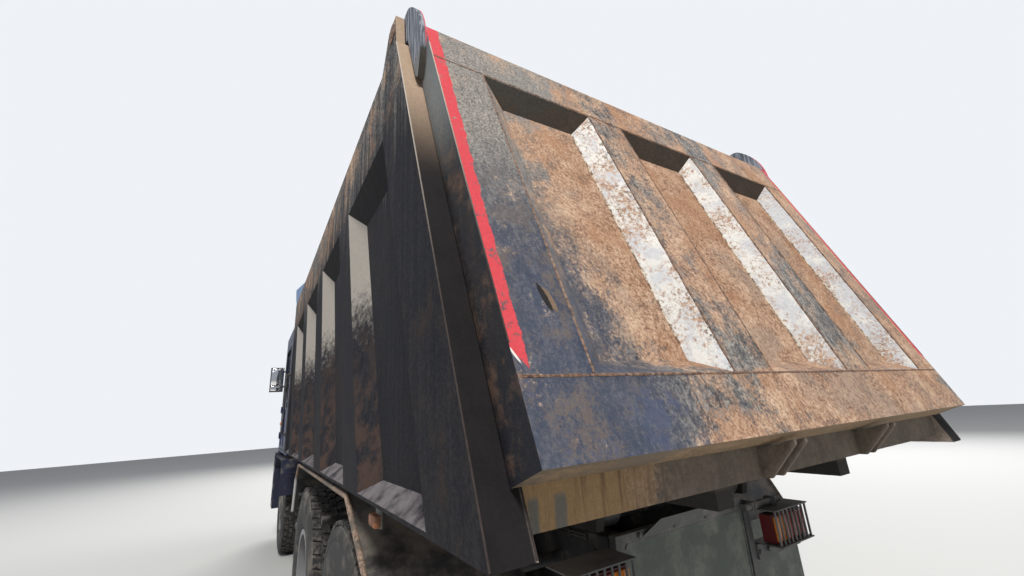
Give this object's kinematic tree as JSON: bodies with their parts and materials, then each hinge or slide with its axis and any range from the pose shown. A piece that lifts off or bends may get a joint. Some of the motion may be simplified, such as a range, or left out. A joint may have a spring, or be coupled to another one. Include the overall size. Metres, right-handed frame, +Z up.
{
  "type": "dump truck",
  "caption": "Cab-over dump truck with a leaning tail gate on top pins, ribbed steel tipping body, cab canopy, twin-tyred drive axles and a front telescopic hoist.",
  "frame": {"origin": "on the ground, midway along the truck and across it", "axes": "+X forward, +Y to the driver's left, +Z up"},
  "size_m": [7.5344, 2.8, 3.465],
  "materials": {
    "gate_paint": "worn and rusty",
    "body_steel": "worn and scraped",
    "canopy_paint": "satin",
    "chassis_paint": "matt",
    "castings": "matt",
    "spring_steel": "matt",
    "cab_paint": "gloss",
    "tread_rubber": "matt",
    "rim_paint": "satin",
    "flap_rubber": "matt",
    "lamp_lens": "gloss",
    "headlamp_lens": "gloss",
    "pane": "gloss",
    "black_plastic": "matt",
    "trim_plastic": "matt",
    "seat_cloth": "matt",
    "tank_alloy": "satin",
    "muffler_steel": "satin",
    "hoist_paint": "satin",
    "hoist_chrome": "polished"
  },
  "bodies": {
    "chassis": {"chassis_frame": "chassis_paint", "subframe": "chassis_paint", "engine": "castings", "drive_axles": "castings", "leaf_springs": "spring_steel", "front_axle_beam": "castings", "rear_mudguards": "black_plastic", "rear_bar": "chassis_paint", "mud_flaps": "flap_rubber", "tail_lamps": "lamp_lens", "fuel_tank": "tank_alloy", "battery_box": "black_plastic", "silencer": "muffler_steel", "front_bumper": "cab_paint", "headlamps": "headlamp_lens", "cab_steps": "black_plastic", "cab_floor": "cab_paint", "cab_back_wall": "cab_paint", "cab_roof": "cab_paint", "cab_front_panel": "cab_paint", "cab_side_left": "cab_paint", "cab_side_right": "cab_paint", "cab_glass": "pane", "seats": "seat_cloth", "dashboard": "trim_plastic", "mirrors": "black_plastic"},
    "bed": {"bed_floor": "body_steel", "bed_side_left": "body_steel", "bed_side_right": "body_steel", "bed_front_wall": "body_steel", "bed_canopy": "canopy_paint"},
    "tailgate": {"tailgate": "gate_paint"},
    "door_left": {"door_left": "cab_paint", "door_glass_left": "pane"},
    "door_right": {"door_right": "cab_paint", "door_glass_right": "pane"},
    "knuckle_left": {"knuckle_left": "castings"},
    "knuckle_right": {"knuckle_right": "castings"},
    "tie_rod": {"tie_rod": "spring_steel"},
    "wheel_front_left": {"tyre_front_left": "tread_rubber", "rim_front_left": "rim_paint"},
    "wheel_front_right": {"tyre_front_right": "tread_rubber", "rim_front_right": "rim_paint"},
    "wheels_middle_left": {"tyres_middle_left": "tread_rubber", "rims_middle_left": "rim_paint"},
    "wheels_middle_right": {"tyres_middle_right": "tread_rubber", "rims_middle_right": "rim_paint"},
    "wheels_rear_left": {"tyres_rear_left": "tread_rubber", "rims_rear_left": "rim_paint"},
    "wheels_rear_right": {"tyres_rear_right": "tread_rubber", "rims_rear_right": "rim_paint"},
    "steering_wheel": {"steering_wheel": "black_plastic"},
    "hoist_barrel": {"hoist_barrel": "hoist_paint"},
    "hoist_stage_one": {"hoist_stage_one": "hoist_chrome"},
    "hoist_stage_two": {"hoist_stage_two": "hoist_chrome"},
    "hoist_stage_three": {"hoist_stage_three": "hoist_chrome"},
    "hoist_stage_four": {"hoist_stage_four": "hoist_chrome"}
  },
  "joints": [
    {"name": "bed_tip", "type": "hinge", "parent": "chassis", "child": "bed", "pos_m": [-2.99981, 0, 1.14], "axis": [0, -1, 0], "range_deg": [0, 45]},
    {"name": "tailgate_swing", "type": "hinge", "parent": "bed", "child": "tailgate", "pos_m": [-2.98005, 0, 3.12401], "axis": [0, 1, 0], "range_deg": [0, 75]},
    {"name": "door_left_hinge", "type": "hinge", "parent": "chassis", "child": "door_left", "pos_m": [3.42219, 1.204, 1.235], "axis": [0, 0, -1], "range_deg": [0, 70]},
    {"name": "door_right_hinge", "type": "hinge", "parent": "chassis", "child": "door_right", "pos_m": [3.42219, -1.204, 1.235], "axis": [0, 0, 1], "range_deg": [0, 70]},
    {"name": "steer_left", "type": "hinge", "parent": "chassis", "child": "knuckle_left", "pos_m": [2.45019, 0.83, 0.555], "axis": [0, 0, 1], "range_deg": [-38, 38]},
    {"name": "steer_right", "type": "hinge", "parent": "chassis", "child": "knuckle_right", "pos_m": [2.45019, -0.83, 0.555], "axis": [0, 0, 1], "range_deg": [-38, 38]},
    {"name": "tie_rod_swing", "type": "hinge", "parent": "knuckle_left", "child": "tie_rod", "pos_m": [2.22019, 0.83, 0.44], "axis": [0, 0, 1], "range_deg": [-38, 38]},
    {"name": "steering_wheel_turn", "type": "hinge", "parent": "chassis", "child": "steering_wheel", "pos_m": [3.09019, 0.64, 1.99], "axis": [-0.5299, 0, 0.848], "range_deg": [-608, 608]},
    {"name": "hoist_tilt", "type": "hinge", "parent": "chassis", "child": "hoist_barrel", "pos_m": [1.78019, 0, 0.9], "axis": [0, -1, 0], "range_deg": [0, 22.23]},
    {"name": "stage_one_slide", "type": "slide", "parent": "hoist_barrel", "child": "hoist_stage_one", "axis": [-0.0877, 0, 0.9962], "range_m": [0, 0.8837]},
    {"name": "stage_two_slide", "type": "slide", "parent": "hoist_stage_one", "child": "hoist_stage_two", "axis": [-0.0877, 0, 0.9962], "range_m": [0, 0.8837]},
    {"name": "stage_three_slide", "type": "slide", "parent": "hoist_stage_two", "child": "hoist_stage_three", "axis": [-0.0877, 0, 0.9962], "range_m": [0, 0.8837]},
    {"name": "stage_four_slide", "type": "slide", "parent": "hoist_stage_three", "child": "hoist_stage_four", "axis": [-0.0877, 0, 0.9962], "range_m": [0, 0.8837]},
    {"name": "wheel_front_left_spin", "type": "hinge", "parent": "knuckle_left", "child": "wheel_front_left", "pos_m": [2.45019, 1.02, 0.555], "axis": [0, 1, 0], "continuous": true},
    {"name": "wheel_front_right_spin", "type": "hinge", "parent": "knuckle_right", "child": "wheel_front_right", "pos_m": [2.45019, -1.02, 0.555], "axis": [0, 1, 0], "continuous": true},
    {"name": "wheels_middle_left_spin", "type": "hinge", "parent": "chassis", "child": "wheels_middle_left", "pos_m": [-0.79981, 0.9125, 0.555], "axis": [0, 1, 0], "continuous": true},
    {"name": "wheels_middle_right_spin", "type": "hinge", "parent": "chassis", "child": "wheels_middle_right", "pos_m": [-0.79981, -0.9125, 0.555], "axis": [0, 1, 0], "continuous": true},
    {"name": "wheels_rear_left_spin", "type": "hinge", "parent": "chassis", "child": "wheels_rear_left", "pos_m": [-2.19981, 0.9125, 0.555], "axis": [0, 1, 0], "continuous": true},
    {"name": "wheels_rear_right_spin", "type": "hinge", "parent": "chassis", "child": "wheels_rear_right", "pos_m": [-2.19981, -0.9125, 0.555], "axis": [0, 1, 0], "continuous": true}
  ],
  "couplings": [
    {"joint": "steer_right", "follows": "steer_left", "ratio": 1},
    {"joint": "tie_rod_swing", "follows": "steer_left", "ratio": -1},
    {"joint": "steering_wheel_turn", "follows": "steer_left", "ratio": 16},
    {"joint": "hoist_tilt", "follows": "bed_tip", "ratio": 0.49375},
    {"joint": "stage_one_slide", "follows": "bed_tip", "m_per_rad": 1.1245},
    {"joint": "stage_two_slide", "follows": "bed_tip", "m_per_rad": 1.1245},
    {"joint": "stage_three_slide", "follows": "bed_tip", "m_per_rad": 1.1245},
    {"joint": "stage_four_slide", "follows": "bed_tip", "m_per_rad": 1.1245}
  ]
}
